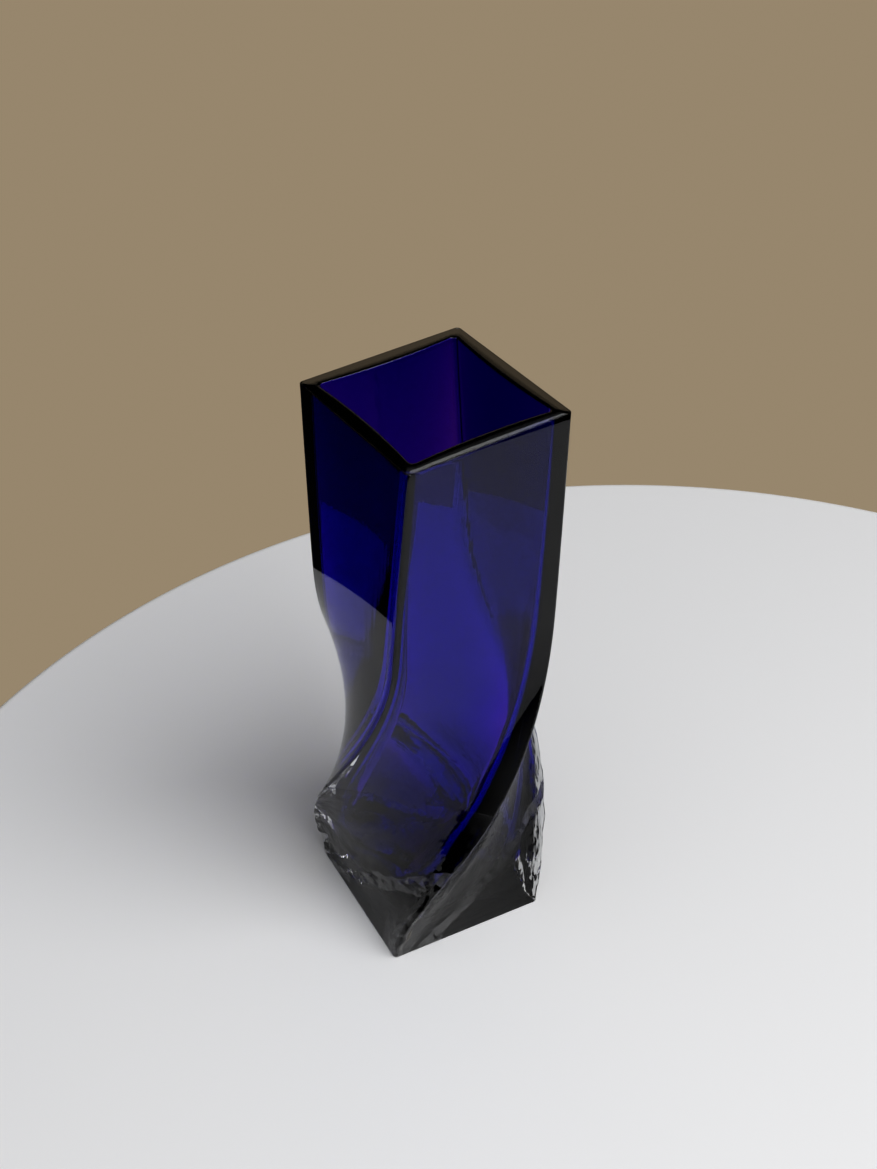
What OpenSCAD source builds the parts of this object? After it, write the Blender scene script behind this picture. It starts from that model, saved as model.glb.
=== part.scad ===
// Tall square vessel of cased glass, drawn round a quarter turn and a little more between rim and foot.
// A cobalt cup lies inside a colourless case. The case is thin at the rim, thickens downwards,
// and closes under the cup as a solid foot. The cobalt was gathered off centre, and is thicker on one side.

/* [Body] */
// Height from the base to the rim
height = 248; // [210:1:280]
// Width of the square at the rim, over its flat faces
side = 70; // [62:1:80]
// Radius of the four corner edges
edge_radius = 1.6; // [1:0.1:2.4]
// How much narrower the square is at the waist, as a share of its width
waist_draw = 0.012; // [0:0.002:0.03]
// How much narrower the square is at the base, as a share of its width
foot_draw = 0.014; // [0:0.002:0.03]
// Width of the bevel ground round the rim and the base
bevel = 0.6; // [0.4:0.1:1]

/* [Twist] */
// Turn spread evenly over the whole height, in degrees
even_turn = 20.5; // [0:0.5:40]
// Turn gathered in the lower part, in degrees
gathered_turn = 76; // [0:1:90]
// Share of the height, from the base, that takes the gathered turn
gathered_share = 0.645; // [0.5:0.005:0.9]
// How soon the gathered turn starts above the base, where lower is sooner
gathered_onset = 0.9; // [0.8:0.05:1.2]

/* [Faces] */
// How far the corner edges stand out from the faces, low down where the glass was worked most
ridge_pull = 1.6; // [0:0.1:2]
// How far each face of the hollow swells inwards, half-way between its corners
face_swell = 1.4; // [1:0.1:1.8]

/* [Layers] */
// Both glasses together at the rim
wall_at_rim = 5.2; // [5:0.1:6]
// Both glasses together, down at the foot
wall_at_foot = 5.8; // [5.4:0.1:6.4]
// Clear glass outside the cobalt, at the rim
clear_at_rim = 0.4; // [0.4:0.1:0.8]
// Cobalt glass round the hollow, down at the foot
cobalt_at_foot = 0.6; // [0.6:0.1:0.8]
// How much thicker the cobalt is on its heavy side, low down
heavy_side = 3.4; // [0:0.2:3.4]
// Solid clear glass under the middle of the cup
foot_height = 10; // [8:1:20]
// Cobalt glass under the middle of the hollow
cobalt_floor = 7; // [5:0.5:9]
// How much thicker the cobalt is all round, at the bottom
cobalt_gather = 4.5; // [3:0.5:5.5]
// Height over which the cup's round bottom widens to its full size
bowl_rise = 30; // [24:1:40]
// Corner radius of the cup's outside, low down, where it is softest
cup_soft_radius = 10; // [8:1:16]
// Corner radius of the hollow, low down
hollow_soft_radius = 16; // [8:1:18]

/* [Hidden] */
// The two glasses are fused on the real vessel, and stand this far apart here
fuse_gap = 0.05;
cup_corner = edge_radius + 0.4;
hollow_corner = 2;
bowl_roundness = 3;
waist_centre = 0.45;
waist_spread = 0.14;
drawn_foot_share = 0.15;
worked_from = 12;
worked_to = 110;
arc_steps = 4;
flat_steps = 6;
body_rings = 30;
bowl_rings = 8;
ring_points = 4 * (arc_steps + flat_steps);

// How far a height is up the body, from 0 at the base to 1 at the rim
function level(z) = min(max(z / height, 0), 1);

// Turn of the square at a height, in degrees, counted back from the rim
function gather(u) = pow(min(u / gathered_share, 1), gathered_onset);
function eased(t) = (1 - t) * (1 - t) * (1 + 2 * t);
function turn(z) = -even_turn * (1 - level(z)) - gathered_turn * eased(gather(level(z)));

// Half the width of the outer square at a height
function waist(u) = waist_draw * exp(-pow((u - waist_centre) / waist_spread, 2));
function drawn_foot(u) = foot_draw * pow(max(1 - u / drawn_foot_share, 0), 2);
function outer_half(z) = side / 2 * (1 - waist(level(z)) - drawn_foot(level(z)));

// A measure that goes from its value at the rim to its value at the foot, as a power of the way down
function rising(foot, rim, z, bend) = rim + (foot - rim) * pow(1 - level(z), bend);

// How much the glass was worked at a height: most low down, and not at all at the base
function above_base(z) = min(z / worked_from, 1);
function below_top(z) = min(max((worked_to - z) / (worked_to - worked_from), 0), 1);
function worked(z) = above_base(z) * pow(below_top(z), 2) * (3 - 2 * below_top(z));

// Half the width of the hollow and of the cup's outside, where each has its full size
function wall(z) = rising(wall_at_foot, wall_at_rim, z, 2.5);
function cobalt(z) = rising(cobalt_at_foot, wall_at_rim - clear_at_rim, z, 0.45);
function cup_half(z) = outer_half(z) - wall(z) + cobalt(z);
function hollow_half(z) = outer_half(z) - wall(z) - rising(cobalt_gather, 0, z, 6);
function heavy(z) = rising(heavy_side, 0, z, 0.35);

// One rounded square as a ring of points: its flats are drawn in by swell at their middle, and by pull
// all along but for their ends, and its heavy side stands out by extra
function corner_points(half, r) =
    [for (i = [0:arc_steps]) let (a = 90 * i / arc_steps) [half - r + r * cos(a), half - r + r * sin(a)]];
function flat_points(half, r, swell, pull) =
    [for (i = [1:flat_steps - 1]) let (s = cos(180 * i / flat_steps))
        [s * (half - r), half - swell * (1 - s * s) - pull * (1 - pow(s, 8))]];
function spun(p, a) = [p.x * cos(a) - p.y * sin(a), p.x * sin(a) + p.y * cos(a)];
function widened(p, half, extra) = [p.x + extra / 2 * (1 + p.x / half), p.y];
function ring(half, r, swell, z, pull = 0, extra = 0) =
    [for (c = [0:3], p = concat(corner_points(half, r), flat_points(half, r, swell, pull)))
        let (q = spun(widened(spun(p, 90 * c), half, extra), turn(z))) [q.x, q.y, z]];

// The outer skin, ring by ring from the base to the rim, bevelled at both ends
function outer_ring(inset, z) =
    ring(outer_half(z) - inset, edge_radius, 0, z, ridge_pull * worked(z));
function outer_skin() = concat(
    [outer_ring(bevel, 0)],
    [for (i = [0:body_rings]) outer_ring(0, bevel + (height - bevel - bevel / 2) * i / body_rings)],
    [outer_ring(bevel / 2, height)]);

// A cup's round bottom: how high it has lifted and how wide it has grown, part of the way round its curve
function lift(a) = bowl_rise * (1 - pow(cos(a), 2 / bowl_roundness));
function reach(a) = pow(sin(a), 2 / bowl_roundness);
function bowl_angle(i) = 90 * i / bowl_rings;
function body_level(pole, i) = pole + bowl_rise + (height - pole - bowl_rise) * i / body_rings;

// The skin between the two glasses, from the pole of its round bottom up to the rim
function seam_ring(gap, k, z) =
    ring((cup_half(z) - gap) * k, rising(cup_soft_radius, cup_corner, z, 1.2) * k,
        ridge_pull * worked(z) * k, z, 0, heavy(z) * k);
function seam_skin(gap) = concat(
    [for (i = [1:bowl_rings]) seam_ring(gap, reach(bowl_angle(i)), foot_height + gap + lift(bowl_angle(i)))],
    [for (i = [1:body_rings]) seam_ring(gap, 1, body_level(foot_height, i))]);

// The hollow, from the pole of its round bottom up to the rim, where its edge is bevelled
hollow_floor = foot_height + cobalt_floor;
function hollow_ring(grow, k, z) =
    ring((hollow_half(z) + grow) * k, rising(hollow_soft_radius, hollow_corner, z, 2) * k,
        (face_swell + ridge_pull * worked(z)) * k, z);
function hollow_skin() = concat(
    [for (i = [1:bowl_rings]) hollow_ring(0, reach(bowl_angle(i)), hollow_floor + lift(bowl_angle(i)))],
    [for (i = [1:body_rings - 1]) hollow_ring(0, 1, body_level(hollow_floor, i))],
    [hollow_ring(0, 1, height - bevel)],
    [hollow_ring(bevel, 1, height)]);

// The rings of a list, last first
function reversed(rings) = [for (i = [len(rings) - 1:-1:0]) rings[i]];

// A closed skin stretched over rings that follow each other from one pole to the other
module glass_skin(first_pole, rings, last_pole) {
    last = len(rings) - 1;
    end = 1 + len(rings) * ring_points;
    points = concat([first_pole], [for (r = rings) each r], [last_pole]);
    faces = concat(
        [for (j = [0:ring_points - 1]) [0, 1 + j, 1 + (j + 1) % ring_points]],
        [for (i = [0:last - 1], j = [0:ring_points - 1])
            let (a = 1 + i * ring_points, k = (j + 1) % ring_points) [a + j, a + ring_points + j, a + k]],
        [for (i = [0:last - 1], j = [0:ring_points - 1])
            let (a = 1 + i * ring_points, k = (j + 1) % ring_points)
                [a + k, a + ring_points + j, a + ring_points + k]],
        [for (j = [0:ring_points - 1])
            let (a = 1 + last * ring_points) [a + j, end, a + (j + 1) % ring_points]]);
    polyhedron(points, faces, convexity = 8);
}

// Colourless case: the twisted outside, the thin ring at the rim, and the solid foot under the cup
module clear_case() {
    color([0.85, 0.9, 0.92, 0.4])
        glass_skin([0, 0, 0], concat(outer_skin(), reversed(seam_skin(0))), [0, 0, foot_height]);
}

// Cobalt cup: fused into the case on the outside, open to the hollow on the inside
module cobalt_cup() {
    color([0.1, 0.05, 0.5])
        glass_skin([0, 0, foot_height + fuse_gap], concat(seam_skin(fuse_gap), reversed(hollow_skin())),
            [0, 0, hollow_floor]);
}

clear_case();
cobalt_cup();
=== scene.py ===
import math

import bpy
from mathutils import Matrix, Vector


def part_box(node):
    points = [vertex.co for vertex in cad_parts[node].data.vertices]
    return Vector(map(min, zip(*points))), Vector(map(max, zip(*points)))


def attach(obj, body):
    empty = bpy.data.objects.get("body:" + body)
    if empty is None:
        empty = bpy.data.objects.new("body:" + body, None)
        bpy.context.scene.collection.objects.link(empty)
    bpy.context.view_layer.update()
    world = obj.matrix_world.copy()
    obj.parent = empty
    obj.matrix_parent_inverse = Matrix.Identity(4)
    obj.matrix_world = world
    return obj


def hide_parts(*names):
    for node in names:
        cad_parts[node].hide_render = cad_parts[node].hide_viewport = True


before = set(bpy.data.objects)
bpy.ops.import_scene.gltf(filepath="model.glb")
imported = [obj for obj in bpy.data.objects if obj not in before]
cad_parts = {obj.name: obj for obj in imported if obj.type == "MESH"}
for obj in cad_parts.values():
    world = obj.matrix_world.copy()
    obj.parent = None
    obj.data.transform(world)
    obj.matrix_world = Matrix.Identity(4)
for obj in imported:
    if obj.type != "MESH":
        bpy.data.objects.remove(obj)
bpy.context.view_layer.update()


# ---------------------------------------------------------------------------------------- clear case
# The clear case is the colourless outer glass. It was blown square in a mould over the cobalt, and
# turned while soft, so most of its glass ran down and closed under the cup as a thick solid foot.
# The rim is cut and ground flat, and so is the base that the vessel stands on.

case_low, case_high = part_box("clear_case")
HEIGHT = case_high.z - case_low.z
SIDE = 0.0699               # width of the square at the rim, with room left for the skin's unevenness
EDGE_RADIUS = 0.0016        # the four corner edges
WAIST_DRAW = 0.012          # how much the square narrows at the waist, as a share
WAIST_CENTRE = 0.45         # height of the waist, as a share
WAIST_SPREAD = 0.14
FOOT_DRAW = 0.014           # how much the square narrows at the base, as a share
DRAWN_FOOT_SHARE = 0.15
BEVEL = 0.0006              # ground edge of the base, and twice that of the rim

# Each of these changes from rim to foot as (1 - level) ** bend: with a low bend, most of it near the rim.
WALL_AT_RIM = 0.0052        # both glasses together
WALL_AT_FOOT = 0.0058
WALL_BEND = 2.5
COBALT_AT_RIM = 0.0048      # the cobalt's share of the wall
COBALT_AT_FOOT = 0.0006
COBALT_BEND = 0.45
COBALT_GATHER = 0.0045      # how much thicker it is all round, at the bottom
GATHER_BEND = 6
HEAVY_SIDE = 0.0034         # how much thicker the cobalt is on one side, low down
HEAVY_BEND = 0.35
FOOT_HEIGHT = 0.010         # solid clear glass under the middle of the cup
BOWL_RISE = 0.030           # height over which the cup's round bottom widens
BOWL_ROUNDNESS = 3.0
CUP_SOFT_RADIUS = 0.010     # corner radius of the cobalt's outside, low down
CUP_CORNER = EDGE_RADIUS + 0.0004
CUP_SOFT_BEND = 1.2

WORKED_FROM = 0.012         # the tools marked the glass from here
WORKED_TO = 0.110           # to here, fading upwards
RIDGE_PULL = 0.0016         # how far the corner edges stand out from the faces
OUTER_WAVE = 0.0030         # height of the broad waves on the outside
OUTER_FOLD = 0.0035         # height of the small folds along the corner edges
SEAM_WAVE = 0.0060          # height of the waves where the two glasses meet

TWIST = {
    "Wave Length": 0.028,                 # of the broad unevenness left by hot working
    "Fold Length": 0.007,                 # of the small folds along the corner edges
    "Height": HEIGHT,
    "Even Turn": math.radians(20.5),      # spread over the whole height
    "Gathered Turn": math.radians(76.0),  # gathered in the lower part
    "Gathered Share": 0.645,
    "Gathered Onset": 0.9,
    "Steps Round A Corner": 8,
    "Steps Along A Face": 36,
}


def level(z):
    return min(max(z / HEIGHT, 0.0), 1.0)


def outer_half(z):
    """Half the width of the outer square at a height."""
    waist = WAIST_DRAW * math.exp(-((level(z) - WAIST_CENTRE) / WAIST_SPREAD) ** 2)
    foot = FOOT_DRAW * max(1 - level(z) / DRAWN_FOOT_SHARE, 0) ** 2
    return SIDE / 2 * (1 - waist - foot)


def rising(foot, rim, z, bend):
    """A measure that goes from its value at the rim to its value at the foot, as (1 - level) ** bend."""
    return rim + (foot - rim) * (1 - level(z)) ** bend


def worked(z):
    """How much the hot tools marked the glass at a height: most low down, and not at all at the base."""
    above_base = min(z / WORKED_FROM, 1.0)
    below_top = min(max((WORKED_TO - z) / (WORKED_TO - WORKED_FROM), 0.0), 1.0)
    return above_base * below_top * below_top * (3 - 2 * below_top)


def station(half, radius, swell, z, fused=0.0, heavy=0.0, wave=0.0, fold=0.0, pull=0.0):
    """One height of a skin: a rounded square, whether it is fused to the other glass, how far it
    stands out on its heavy side, and how uneven it is."""
    return {"half": half, "radius": radius, "swell": swell, "z": z, "fused": fused,
            "shift": heavy / 2, "stretch": heavy / max(half, 0.001) / 2,
            "wave": wave * worked(z), "fold": fold * worked(z), "pull": pull * worked(z)}


def spread(first, last, steps):
    """Evenly spaced values from first to last."""
    return [first + (last - first) * i / steps for i in range(steps + 1)]


def wall(z):
    return rising(WALL_AT_FOOT, WALL_AT_RIM, z, WALL_BEND)


def cup_half(z):
    """Half the width of the cobalt cup's outside."""
    return outer_half(z) - (wall(z) - rising(COBALT_AT_FOOT, COBALT_AT_RIM, z, COBALT_BEND))


def cup_radius(z):
    return rising(CUP_SOFT_RADIUS, CUP_CORNER, z, CUP_SOFT_BEND)


def heavy_side(z):
    return rising(HEAVY_SIDE, 0.0, z, HEAVY_BEND)


BODY_STEPS = 110
BOWL_STEPS = 26
BEVEL_STEPS = 4


def rounded_edge(half, radius, size, z_edge, at_base):
    """A ground edge as a quarter round: out and up at the base, or up and in at the rim."""
    stations = []
    for turn in spread(0, math.pi / 2, BEVEL_STEPS):
        by_sine, by_cosine = size * (1 - math.sin(turn)), size * (1 - math.cos(turn))
        if at_base:
            stations.append(station(half - by_sine, radius, 0.0, z_edge + by_cosine))
        else:
            stations.append(station(half - by_cosine, radius, 0.0, z_edge - by_sine))
    return stations


def outer_skin():
    """The outside, from the middle of the base up to the edge of the rim."""
    base_half = outer_half(0)
    stations = [station(0.0, 0.0, 0.0, 0.0)]
    for share in (0.5, 0.97):
        stations.append(station((base_half - BEVEL) * share, EDGE_RADIUS * share, 0.0, 0.0))
    stations += rounded_edge(base_half, EDGE_RADIUS, BEVEL, 0.0, at_base=True)
    for z in spread(BEVEL, HEIGHT - BEVEL / 2, BODY_STEPS)[1:-1]:
        stations.append(station(outer_half(z), EDGE_RADIUS, 0.0, z, wave=OUTER_WAVE, fold=OUTER_FOLD,
                                pull=RIDGE_PULL))
    stations += rounded_edge(outer_half(HEIGHT), EDGE_RADIUS, BEVEL / 2, HEIGHT, at_base=False)
    return stations


def bowl(angle):
    """How high a cup's round bottom has lifted, and how wide it has grown, at an angle of its curve."""
    lift = BOWL_RISE * (1 - math.cos(angle) ** (2 / BOWL_ROUNDNESS))
    reach = math.sin(angle) ** (2 / BOWL_ROUNDNESS)
    return lift, reach


def seam_skin(gap):
    """The skin between the two glasses, from its pole above the foot up to the rim."""
    pole = FOOT_HEIGHT + gap
    stations = [station(0.0, 0.0, 0.0, pole, 1.0, 0.0, SEAM_WAVE)]
    for angle in spread(0, math.pi / 2, BOWL_STEPS)[1:-1]:
        lift, reach = bowl(angle)
        z = pole + lift
        swell = RIDGE_PULL * worked(z) * reach
        stations.append(station((cup_half(z) - gap) * reach, cup_radius(z) * reach, swell, z, 1.0,
                                heavy_side(z) * reach, SEAM_WAVE))
    for z in spread(pole + BOWL_RISE, HEIGHT, BODY_STEPS):
        swell = RIDGE_PULL * worked(z)
        stations.append(station(cup_half(z) - gap, cup_radius(z), swell, z, 1.0, heavy_side(z), SEAM_WAVE))
    return stations


class Measure:
    """A number that a node tree works out, so that a formula in nodes is written as a formula."""

    def __init__(self, tree, socket):
        self.tree = tree
        self.socket = socket

    def reckon(self, operation, *others):
        node = self.tree.nodes.new("ShaderNodeMath")
        node.operation = operation
        for entry, value in zip(node.inputs, (self, *others)):
            if isinstance(value, Measure):
                self.tree.links.new(value.socket, entry)
            else:
                entry.default_value = value
        return Measure(self.tree, node.outputs[0])

    def __add__(self, other):
        return self.reckon("ADD", other)

    def __sub__(self, other):
        return self.reckon("SUBTRACT", other)

    def __mul__(self, other):
        return self.reckon("MULTIPLY", other)

    def __truediv__(self, other):
        return self.reckon("DIVIDE", other)

    def __pow__(self, other):
        return self.reckon("POWER", other)

    def chosen(self, when_one, when_nought):
        """when_one where this mask is 1, and when_nought where it is 0."""
        return self * when_one + (self * -1 + 1) * when_nought


SAME_POINT = 0.00001        # points nearer than this are one, at the poles and along the sheet's seam


def twisting_tree():
    """Nodes that carry a skin's stations round a rounded square and turn each by its height."""
    tree = bpy.data.node_groups.new("Twisted Glass Skin", "GeometryNodeTree")
    face = tree.interface
    face.new_socket("Geometry", in_out="INPUT", socket_type="NodeSocketGeometry")
    for name in ("Height", "Even Turn", "Gathered Turn", "Gathered Share", "Gathered Onset",
                 "Wave Length", "Fold Length"):
        face.new_socket(name, in_out="INPUT", socket_type="NodeSocketFloat")
    for name in ("Steps Round A Corner", "Steps Along A Face"):
        face.new_socket(name, in_out="INPUT", socket_type="NodeSocketInt")
    for name in ("Open Glass", "Fused Glass"):
        face.new_socket(name, in_out="INPUT", socket_type="NodeSocketMaterial")
    face.new_socket("Geometry", in_out="OUTPUT", socket_type="NodeSocketGeometry")

    def add(kind, **settings):
        node = tree.nodes.new(kind)
        for key, value in settings.items():
            setattr(node, key, value)
        return node

    def join(output, entry):
        tree.links.new(output.socket if isinstance(output, Measure) else output, entry)

    given = add("NodeGroupInput").outputs
    profile = given["Geometry"]
    corner_steps = Measure(tree, given["Steps Round A Corner"])
    face_steps = Measure(tree, given["Steps Along A Face"])
    side_steps = corner_steps + face_steps
    round_steps = side_steps * 4

    counted = add("GeometryNodeAttributeDomainSize", component="MESH")
    join(profile, counted.inputs["Geometry"])
    stations = Measure(tree, counted.outputs["Point Count"])

    # A sheet with one column for each point round the square and one row for each station.
    sheet = add("GeometryNodeMeshGrid")
    join(round_steps, sheet.inputs["Size X"])
    join(stations - 1, sheet.inputs["Size Y"])
    join(round_steps + 1, sheet.inputs["Vertices X"])
    join(stations, sheet.inputs["Vertices Y"])
    place = add("ShaderNodeSeparateXYZ")
    join(add("GeometryNodeInputPosition").outputs["Position"], place.inputs[0])
    column = (Measure(tree, place.outputs["X"]) + round_steps / 2).reckon("ROUND")
    row = (Measure(tree, place.outputs["Y"]) + (stations - 1) / 2).reckon("ROUND")

    def of_station(name):
        """A measure of the station that a row stands for."""
        source = add("GeometryNodeInputNamedAttribute", data_type="FLOAT")
        source.inputs["Name"].default_value = name
        sampled = add("GeometryNodeSampleIndex", data_type="FLOAT", domain="POINT")
        join(profile, sampled.inputs["Geometry"])
        join(source.outputs["Attribute"], sampled.inputs["Value"])
        join(row, sampled.inputs["Index"])
        return Measure(tree, sampled.outputs["Value"])

    half, radius, swell = of_station("half"), of_station("radius"), of_station("swell")
    z, fused = of_station("z"), of_station("fused")

    # One side of the rounded square: a quarter arc, then a flat that may draw in at its middle (swell)
    # and all along but for its ends (pull).
    quarter = (column / side_steps).reckon("FLOOR")
    step = column - quarter * side_steps
    on_arc = (corner_steps + 0.5 - step).reckon("GREATER_THAN", 0.0)
    arc = step / corner_steps * (math.pi / 2)
    along = ((step - corner_steps) / face_steps * math.pi).reckon("COSINE")
    flat_half = half - radius
    x = on_arc.chosen(flat_half + radius * arc.reckon("COSINE"), along * flat_half)
    along = along * along
    drawn_face = half - swell * (along * -1 + 1) - of_station("pull") * (along ** 4 * -1 + 1)
    y = on_arc.chosen(flat_half + radius * arc.reckon("SINE"), drawn_face)

    # How far the square has turned back from the rim at this height.
    up = z / Measure(tree, given["Height"])
    gather = (up / Measure(tree, given["Gathered Share"])).reckon("MINIMUM", 1.0)
    gather = gather ** Measure(tree, given["Gathered Onset"])
    eased = (gather * -1 + 1) ** 2 * (gather * 2 + 1)
    turn = Measure(tree, given["Even Turn"]) * (up - 1) - Measure(tree, given["Gathered Turn"]) * eased

    def turned(across, over, angle):
        """A point of the square, turned about the vessel's axis."""
        cosine, sine = angle.reckon("COSINE"), angle.reckon("SINE")
        return across * cosine - over * sine, across * sine + over * cosine

    def at_height(across, over):
        node = add("ShaderNodeCombineXYZ")
        join(across, node.inputs["X"])
        join(over, node.inputs["Y"])
        join(z, node.inputs["Z"])
        return node.outputs["Vector"]

    def kept(geometry, name, value, data_type, domain="POINT"):
        node = add("GeometryNodeStoreNamedAttribute", data_type=data_type, domain=domain)
        node.inputs["Name"].default_value = name
        join(geometry, node.inputs["Geometry"])
        join(value, node.inputs["Value"])
        return node.outputs["Geometry"]

    across, over = turned(x, y, quarter * (math.pi / 2))
    across = across * (of_station("stretch") + 1) + of_station("shift")
    skin = kept(sheet.outputs["Mesh"], "drawn", at_height(across, over), "FLOAT_VECTOR")
    skin = kept(skin, "fused", fused, "FLOAT")
    skin = kept(skin, "wave", of_station("wave"), "FLOAT")
    skin = kept(skin, "fold", of_station("fold"), "FLOAT")
    shaped = add("GeometryNodeSetPosition")
    join(skin, shaped.inputs["Geometry"])
    join(at_height(*turned(across, over, turn)), shaped.inputs["Position"])
    closed = add("GeometryNodeMergeByDistance")
    join(shaped.outputs["Geometry"], closed.inputs["Geometry"])
    closed.inputs["Distance"].default_value = SAME_POINT

    def kept_value(name, data_type="FLOAT"):
        node = add("GeometryNodeInputNamedAttribute", data_type=data_type)
        node.inputs["Name"].default_value = name
        return node.outputs["Attribute"]

    # Hot working left the skin uneven: broad waves, and small folds that lie along the corner edges.
    drawn = kept_value("drawn", "FLOAT_VECTOR")
    apart = add("ShaderNodeSeparateXYZ")
    join(drawn, apart.inputs[0])
    across = Measure(tree, apart.outputs["X"]).reckon("ABSOLUTE")
    over = Measure(tree, apart.outputs["Y"]).reckon("ABSOLUTE")
    near_corner = across.reckon("MINIMUM", over) / across.reckon("MAXIMUM", over).reckon("MAXIMUM", 0.001)
    near_corner = near_corner ** 6

    def unevenness(length, detail):
        noise = add("ShaderNodeTexNoise")
        join(drawn, noise.inputs["Vector"])
        join(Measure(tree, given[length]) ** -1, noise.inputs["Scale"])
        noise.inputs["Detail"].default_value = detail
        return Measure(tree, noise.outputs["Fac"]) - 0.5

    push = unevenness("Wave Length", 1.0) * Measure(tree, kept_value("wave"))
    push = push + unevenness("Fold Length", 2.0) * Measure(tree, kept_value("fold")) * near_corner
    outwards = add("ShaderNodeVectorMath", operation="SCALE")
    join(add("GeometryNodeInputNormal").outputs["Normal"], outwards.inputs[0])
    join(push, outwards.inputs["Scale"])
    uneven = add("GeometryNodeSetPosition")
    join(closed.outputs["Geometry"], uneven.inputs["Geometry"])
    join(outwards.outputs["Vector"], uneven.inputs["Offset"])

    # A face is fused glass where all its corners are.
    whole = Measure(tree, kept_value("fused")).reckon("GREATER_THAN", 0.99)
    skin = kept(uneven.outputs["Geometry"], "seam", whole, "FLOAT", domain="FACE")
    smooth = add("GeometryNodeSetShadeSmooth")
    join(skin, smooth.inputs["Geometry"])
    real = add("GeometryNodeRealizeInstances")
    join(smooth.outputs["Geometry"], real.inputs["Geometry"])
    painted = real.outputs["Geometry"]
    for material, mask in (("Open Glass", None), ("Fused Glass", kept_value("seam"))):
        brush = add("GeometryNodeSetMaterial")
        join(painted, brush.inputs["Geometry"])
        join(given[material], brush.inputs["Material"])
        if mask:
            join(mask, brush.inputs["Selection"])
        painted = brush.outputs["Geometry"]
    join(painted, add("NodeGroupOutput").inputs["Geometry"])
    return tree


def blown(name, stations, tree, open_glass, fused_glass):
    """A closed glass solid from the stations of its skin."""
    profile = bpy.data.meshes.new(name + "_stations")
    profile.vertices.add(len(stations))
    for measure in stations[0]:
        attribute = profile.attributes.new(measure, "FLOAT", "POINT")
        attribute.data.foreach_set("value", [s[measure] for s in stations])
    template = bpy.data.objects.new(name + "_stations", profile)
    bpy.context.scene.collection.objects.link(template)
    modifier = template.modifiers.new("Twist", "NODES")
    modifier.node_group = tree
    wanted = dict(TWIST)
    wanted["Open Glass"] = open_glass
    wanted["Fused Glass"] = fused_glass
    for item in tree.interface.items_tree:
        if item.in_out == "INPUT" and item.name in wanted:
            modifier[item.identifier] = wanted[item.name]
    bpy.context.view_layer.update()
    evaluated = template.evaluated_get(bpy.context.evaluated_depsgraph_get())
    mesh = bpy.data.meshes.new_from_object(evaluated)
    mesh.name = name
    template.modifiers.clear()
    bpy.data.objects.remove(template)
    piece = bpy.data.objects.new(name, mesh)
    bpy.context.scene.collection.objects.link(piece)
    return piece


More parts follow.
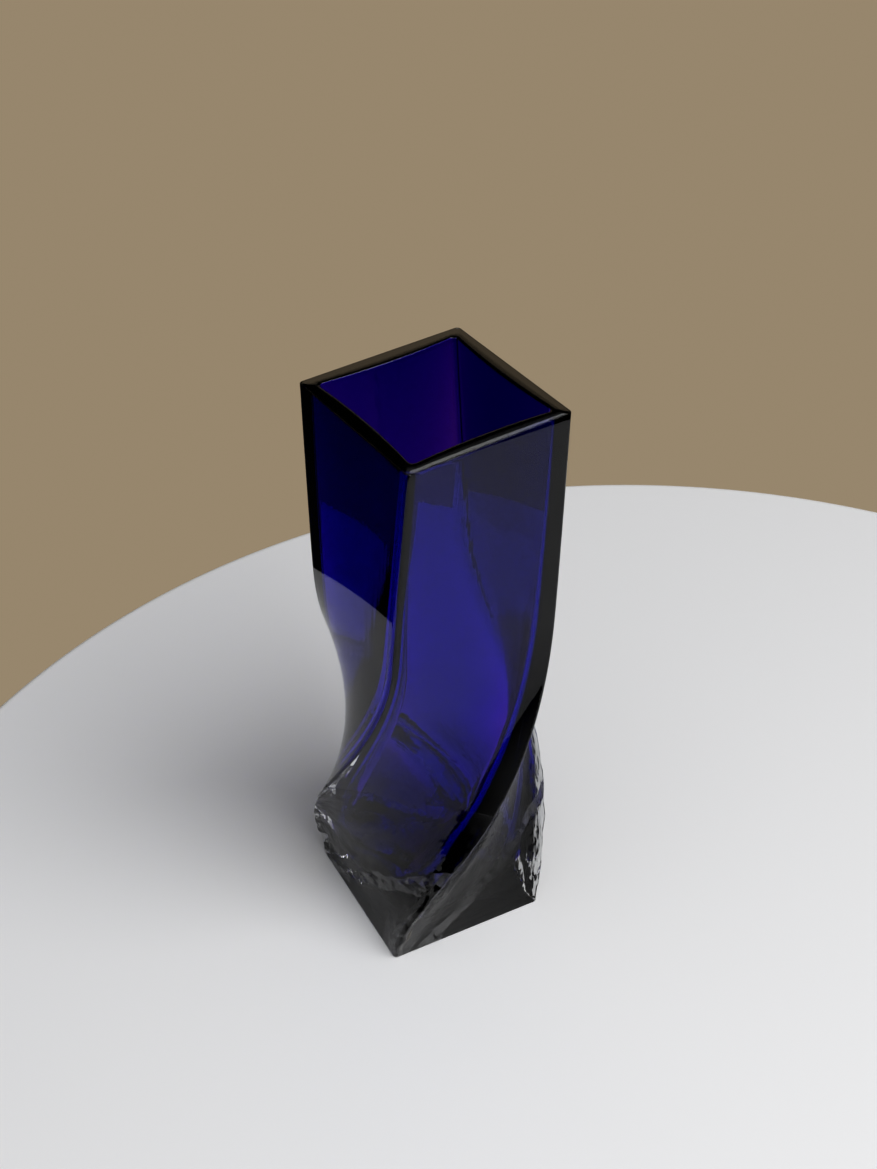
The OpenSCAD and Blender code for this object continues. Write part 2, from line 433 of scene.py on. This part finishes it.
def worked_surface_group():
    """Marks that hot working leaves on glass: draw lines along the twist, crinkles, and slanting folds."""
    group = bpy.data.node_groups.new("Hand-Worked Surface", "ShaderNodeTree")
    face = group.interface
    face.new_socket("Drawn", in_out="INPUT", socket_type="NodeSocketVector")
    face.new_socket("Tint", in_out="INPUT", socket_type="NodeSocketColor")
    for name in ("Line Width", "Line Depth", "Crinkle Size", "Crinkle Depth", "Fold Width", "Fold Depth",
                 "Fold Height", "Fold Slant", "Fold Wander", "Ridge Depth", "Worked To"):
        face.new_socket(name, in_out="INPUT", socket_type="NodeSocketFloat")
    face.new_socket("Height", in_out="OUTPUT", socket_type="NodeSocketFloat")
    face.new_socket("Tint", in_out="OUTPUT", socket_type="NodeSocketColor")

    nodes, links = group.nodes, group.links
    given = nodes.new("NodeGroupInput").outputs
    measure = {item.name: Measure(group, item) for item in given if item.name}
    apart = nodes.new("ShaderNodeSeparateXYZ")
    links.new(given["Drawn"], apart.inputs[0])
    x, y, z = (Measure(group, apart.outputs[axis]) for axis in "XYZ")

    def grain(size, detail, squeeze=1.0):
        """Noise from -1 to 1 over the untwisted glass, drawn out upwards by squeeze."""
        stretched = nodes.new("ShaderNodeCombineXYZ")
        for value, entry in zip((x, y, z * squeeze), stretched.inputs):
            links.new((value / size).socket, entry)
        noise = nodes.new("ShaderNodeTexNoise")
        links.new(stretched.outputs["Vector"], noise.inputs["Vector"])
        noise.inputs["Scale"].default_value = 1.0
        noise.inputs["Detail"].default_value = detail
        return Measure(group, noise.outputs["Fac"]) * 2 - 1

    def held(share):
        """A share kept between 0 and 1."""
        return share.reckon("MINIMUM", 1.0).reckon("MAXIMUM", 0.0)

    low_down = held((measure["Worked To"] - z) / measure["Worked To"]) ** 0.5
    wide, deep = x.reckon("ABSOLUTE"), y.reckon("ABSOLUTE")
    on_side_face = (wide - deep).reckon("GREATER_THAN", 0.0)
    near_corner = wide.reckon("MINIMUM", deep) / wide.reckon("MAXIMUM", deep).reckon("MAXIMUM", 0.001)

    # How far along its own face a point lies, counter-clockwise round the vessel.
    along = on_side_face.chosen(y * x.reckon("SIGN"), x * y.reckon("SIGN") * -1)
    wander = grain(measure["Fold Wander"] * 1.2, 2.0) * measure["Fold Wander"]
    rise = z - measure["Fold Height"] - along * measure["Fold Slant"] - wander
    fold = held(rise / measure["Fold Width"]) * measure["Fold Depth"]
    crinkles = grain(measure["Crinkle Size"], 2.0, 0.5) * measure["Crinkle Depth"] * low_down
    crinkles = crinkles * (near_corner ** 4 + 0.25)     # strongest at the corner edges
    ridges = near_corner ** 5 * measure["Ridge Depth"] * low_down
    lines = grain(measure["Line Width"], 1.0, 0.06) * measure["Line Depth"]
    output = nodes.new("NodeGroupOutput")
    links.new((fold + crinkles + ridges + lines).socket, output.inputs["Height"])

    # Draw lines hold a little more or less of the glass's own colour.
    mixed = nodes.new("ShaderNodeMix")
    mixed.data_type = "RGBA"
    mixed.inputs[6].default_value = (1.0, 1.0, 1.0, 1.0)
    links.new((grain(measure["Line Width"], 1.0, 0.06) * 0.25 + 0.5).socket, mixed.inputs["Factor"])
    links.new(given["Tint"], mixed.inputs[7])
    links.new(mixed.outputs[2], output.inputs["Tint"])
    return group


def glass_material(name, surface, marks):
    """Fire-polished glass with its own share of the hand-worked marks."""
    material = bpy.data.materials.new(name)
    material.use_nodes = True
    tree = material.node_tree
    tree.nodes.clear()
    shader = tree.nodes.new("ShaderNodeBsdfPrincipled")
    shader.inputs["Transmission Weight"].default_value = 1.0
    shader.inputs["Roughness"].default_value = 0.0
    shader.inputs["IOR"].default_value = 1.5
    drawn = tree.nodes.new("ShaderNodeAttribute")
    drawn.attribute_name = "drawn"
    worked_marks = tree.nodes.new("ShaderNodeGroup")
    worked_marks.node_tree = surface
    tree.links.new(drawn.outputs["Vector"], worked_marks.inputs["Drawn"])
    for mark, value in marks.items():
        worked_marks.inputs[mark].default_value = value
    bump = tree.nodes.new("ShaderNodeBump")
    bump.inputs["Distance"].default_value = 1.0
    tree.links.new(worked_marks.outputs["Height"], bump.inputs["Height"])
    tree.links.new(bump.outputs["Normal"], shader.inputs["Normal"])
    tree.links.new(worked_marks.outputs["Tint"], shader.inputs["Base Color"])
    output = tree.nodes.new("ShaderNodeOutputMaterial")
    tree.links.new(shader.outputs["BSDF"], output.inputs["Surface"])
    return material, tree, shader, output


def fused_material(name):
    """Where the two glasses are one, light passes on unbent."""
    material = bpy.data.materials.new(name)
    material.use_nodes = True
    tree = material.node_tree
    tree.nodes.clear()
    passing = tree.nodes.new("ShaderNodeBsdfTransparent")
    output = tree.nodes.new("ShaderNodeOutputMaterial")
    tree.links.new(passing.outputs["BSDF"], output.inputs["Surface"])
    return material


skin_tree = twisting_tree()
worked_surface = worked_surface_group()
clear_glass, _, _, _ = glass_material("clear_glass", worked_surface, {
    "Tint": (0.93, 0.95, 0.95, 1.0), "Line Width": 0.0016, "Line Depth": 0.000008,
    "Crinkle Size": 0.0050, "Crinkle Depth": 0.0011, "Worked To": 0.080,
    "Fold Width": 0.0090, "Fold Depth": 0.0090, "Fold Height": 0.014, "Fold Slant": 0.9,
    "Fold Wander": 0.009, "Ridge Depth": 0.0035,
})
clear_seam = fused_material("clear_glass_seam")

case = blown("clear_glass_case", outer_skin() + seam_skin(0.0)[::-1], skin_tree, clear_glass, clear_seam)
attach(case, "root")
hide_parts("clear_case")


# ---------------------------------------------------------------------------------------- cobalt cup
# The cobalt cup was blown first, and carries the colour: thick at the rim, thinner low down, with a
# round bottom. It was gathered off centre, so one side is heavier and darker. It is fused to the case
# on its outside, and holds the water or the candle.

FUSE_GAP = 0.00005          # stands in for the seam between the two glasses
HOLLOW_SOFT_RADIUS = 0.016  # corner radius of the hollow, low down
HOLLOW_CORNER = 0.0020      # and at the rim
HOLLOW_SOFT_BEND = 2
FACE_SWELL = 0.0014         # how far each face of the hollow swells inwards
HOLLOW_WAVE = 0.0040        # height of the waves on the inside
COBALT_FLOOR = 0.007        # cobalt glass under the middle of the hollow
HOLLOW_FLOOR = FOOT_HEIGHT + COBALT_FLOOR


def hollow_half(z):
    return outer_half(z) - wall(z) - rising(COBALT_GATHER, 0.0, z, GATHER_BEND)


def hollow_radius(z):
    return rising(HOLLOW_SOFT_RADIUS, HOLLOW_CORNER, z, HOLLOW_SOFT_BEND)


def hollow_swell(z):
    return FACE_SWELL + RIDGE_PULL * worked(z)


def hollow_skin():
    """The inside of the cup, from its pole up to the bevelled edge of the rim."""
    stations = [station(0.0, 0.0, 0.0, HOLLOW_FLOOR, wave=HOLLOW_WAVE)]
    for angle in spread(0, math.pi / 2, BOWL_STEPS)[1:-1]:
        lift, reach = bowl(angle)
        z = HOLLOW_FLOOR + lift
        stations.append(station(hollow_half(z) * reach, hollow_radius(z) * reach, hollow_swell(z) * reach, z,
                                wave=HOLLOW_WAVE))
    for z in spread(HOLLOW_FLOOR + BOWL_RISE, HEIGHT - BEVEL, BODY_STEPS):
        stations.append(station(hollow_half(z), hollow_radius(z), hollow_swell(z), z, wave=HOLLOW_WAVE))
    for turn in spread(0, math.pi / 2, BEVEL_STEPS)[1:]:
        z = HEIGHT - BEVEL * (1 - math.sin(turn))
        grown = hollow_half(HEIGHT) + BEVEL * (1 - math.cos(turn))
        stations.append(station(grown, HOLLOW_CORNER, FACE_SWELL, z))
    return stations


cobalt_glass, cobalt_tree, cobalt_shader, cobalt_output = glass_material("cobalt_glass", worked_surface, {
    "Tint": (0.95, 0.95, 1.0, 1.0), "Line Width": 0.0022, "Line Depth": 0.000008,
    "Crinkle Size": 0.0060, "Crinkle Depth": 0.0003, "Worked To": 0.110,
})

# Its outside is fused to the case, and lets light pass unbent, as the case's own seam does.
passing = cobalt_tree.nodes.new("ShaderNodeBsdfTransparent")
seam = cobalt_tree.nodes.new("ShaderNodeAttribute")
seam.attribute_name = "seam"
open_or_fused = cobalt_tree.nodes.new("ShaderNodeMixShader")
cobalt_tree.links.new(seam.outputs["Fac"], open_or_fused.inputs["Fac"])
cobalt_tree.links.new(cobalt_shader.outputs["BSDF"], open_or_fused.inputs[1])
cobalt_tree.links.new(passing.outputs["BSDF"], open_or_fused.inputs[2])
cobalt_tree.links.new(open_or_fused.outputs["Shader"], cobalt_output.inputs["Surface"])

# The colour is in the depth of the glass: the thicker it is, the darker it looks.
COBALT_COLOUR = (0.440, 0.0, 0.885, 1.0)
COBALT_DENSITY = 1300.0
absorption = cobalt_tree.nodes.new("ShaderNodeVolumeAbsorption")
absorption.inputs["Color"].default_value = COBALT_COLOUR
absorption.inputs["Density"].default_value = COBALT_DENSITY
cobalt_tree.links.new(absorption.outputs["Volume"], cobalt_output.inputs["Volume"])

cup_skin = seam_skin(FUSE_GAP) + hollow_skin()[::-1]
cup = blown("cobalt_glass_cup", cup_skin, skin_tree, cobalt_glass, cobalt_glass)
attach(cup, "root")
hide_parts("cobalt_cup")


# --------------------------------------------------------------------------------- table and light
# A round table top in white lacquer, which the vessel stands on, lit by one broad soft light from the
# front right and above. The room is plain: a beige wall beyond the table, a pale glow high up behind
# the viewer, and dark elsewhere.

TABLE_CENTRE = Vector((0.0534, -0.1254, 0.0))
TABLE_RADIUS = 0.3712
TABLE_THICKNESS = 0.018
TABLE_EDGE = 0.004          # radius of its rounded upper edge
TABLE_EDGE_STEPS = 6
TABLE_STEPS = 256

outline = [(0.0, 0.0), (TABLE_RADIUS * 0.5, 0.0)]
for turn in spread(0, math.pi / 2, TABLE_EDGE_STEPS):
    reach = TABLE_RADIUS - TABLE_EDGE * (1 - math.sin(turn))
    outline.append((reach, -TABLE_EDGE * (1 - math.cos(turn))))
outline += [(TABLE_RADIUS, -TABLE_THICKNESS), (0.0, -TABLE_THICKNESS)]
points, faces = [], []
for reach, z in outline:
    for i in range(TABLE_STEPS):
        turn = 2 * math.pi * i / TABLE_STEPS
        points.append((TABLE_CENTRE.x + reach * math.cos(turn), TABLE_CENTRE.y + reach * math.sin(turn), z))
for ring in range(len(outline) - 1):
    for i in range(TABLE_STEPS):
        a, b = ring * TABLE_STEPS + i, ring * TABLE_STEPS + (i + 1) % TABLE_STEPS
        faces.append((a, a + TABLE_STEPS, b + TABLE_STEPS, b))
table_mesh = bpy.data.meshes.new("table_top")
table_mesh.from_pydata(points, [], faces)
table = bpy.data.objects.new("table_top", table_mesh)
bpy.context.scene.collection.objects.link(table)

LACQUER_WHITE = (0.80, 0.80, 0.80, 1.0)
LACQUER_ROUGHNESS = 0.4
lacquer = bpy.data.materials.new("white_lacquer")
lacquer.use_nodes = True
lacquer_shader = lacquer.node_tree.nodes["Principled BSDF"]
lacquer_shader.inputs["Base Color"].default_value = LACQUER_WHITE
lacquer_shader.inputs["Roughness"].default_value = LACQUER_ROUGHNESS
table_mesh.materials.append(lacquer)

LIGHT_DIRECTION = Vector((0.14, -0.62, 0.77)).normalized()
LIGHT_DISTANCE = 2.0
LIGHT_WIDTH = 1.9
LIGHT_POWER = 37.0
lamp = bpy.data.lights.new("softbox", "AREA")
lamp.shape = "DISK"
lamp.size = LIGHT_WIDTH
lamp.energy = LIGHT_POWER
softbox = bpy.data.objects.new("softbox", lamp)
softbox.location = LIGHT_DIRECTION * LIGHT_DISTANCE
softbox.rotation_euler = LIGHT_DIRECTION.to_track_quat("Z", "Y").to_euler()
bpy.context.scene.collection.objects.link(softbox)

room = bpy.data.worlds.new("room")
bpy.context.scene.world = room
room.use_nodes = True
room_tree = room.node_tree
background = room_tree.nodes["Background"]
direction = room_tree.nodes.new("ShaderNodeTexCoord").outputs["Generated"]


def facing(azimuth, elevation, start, full):
    """1 in the directions near an azimuth and elevation, in degrees, falling to 0 away from them."""
    flat = math.cos(math.radians(elevation))
    middle = (flat * math.cos(math.radians(azimuth)), flat * math.sin(math.radians(azimuth)),
              math.sin(math.radians(elevation)))
    dot = room_tree.nodes.new("ShaderNodeVectorMath")
    dot.operation = "DOT_PRODUCT"
    room_tree.links.new(direction, dot.inputs[0])
    dot.inputs[1].default_value = middle
    ramp = room_tree.nodes.new("ShaderNodeMapRange")
    ramp.interpolation_type = "SMOOTHSTEP"
    room_tree.links.new(dot.outputs["Value"], ramp.inputs["Value"])
    ramp.inputs["From Min"].default_value = math.cos(math.radians(start))
    ramp.inputs["From Max"].default_value = math.cos(math.radians(full))
    return Measure(room_tree, ramp.outputs["Result"])


ROOM_DARK = 0.012
ROOM_COLOUR = (0.96, 0.97, 1.0, 1.0)
WALL_STRENGTH = 0.42
WALL_COLOUR = (1.0, 0.83, 0.60, 1.0)
GLOW_STRENGTH = 0.80
far_wall = facing(azimuth=55, elevation=-14, start=48, full=42)
high_glow = facing(azimuth=-112, elevation=55, start=75, full=25) * GLOW_STRENGTH
strength = far_wall * WALL_STRENGTH + high_glow + ROOM_DARK
room_tree.links.new(strength.socket, background.inputs["Strength"])
colour = room_tree.nodes.new("ShaderNodeMix")
colour.data_type = "RGBA"
colour.inputs[6].default_value = ROOM_COLOUR
colour.inputs[7].default_value = WALL_COLOUR
room_tree.links.new(far_wall.socket, colour.inputs["Factor"])
room_tree.links.new(colour.outputs[2], background.inputs["Color"])


# ------------------------------------------------------------------------------------------- camera
# The camera stands in front and to the left of the vessel, and looks down on it from about three
# quarters of a metre away. Light passes through many skins of glass, so it is followed a long way.

CAMERA_PLACE = Vector((-0.3125, -0.4492, 0.6008))
HEADING = 35.08             # degrees clockwise from +Y
LOOK_DOWN = 38.65           # degrees below level
ROLL = 0.78                 # degrees
SENSOR_WIDTH = 36.0         # millimetres
FOCAL_LENGTH = 56.46        # millimetres
NEAREST = 0.01
CONTRAST = 0.71

cam = bpy.data.cameras.new("camera")
cam.sensor_width = SENSOR_WIDTH
cam.lens = FOCAL_LENGTH
cam.clip_start = NEAREST
camera = bpy.data.objects.new("camera", cam)
camera.matrix_world = (
    Matrix.Translation(CAMERA_PLACE)
    @ Matrix.Rotation(math.radians(-HEADING), 4, "Z")
    @ Matrix.Rotation(math.radians(90 - LOOK_DOWN), 4, "X")
    @ Matrix.Rotation(math.radians(ROLL), 4, "Z")
)
bpy.context.scene.collection.objects.link(camera)
bpy.context.scene.camera = camera

scene = bpy.context.scene
scene.view_settings.view_transform = "Standard"
scene.view_settings.gamma = CONTRAST
scene.cycles.max_bounces = 24
scene.cycles.transmission_bounces = 24
scene.cycles.glossy_bounces = 12
scene.cycles.transparent_max_bounces = 32
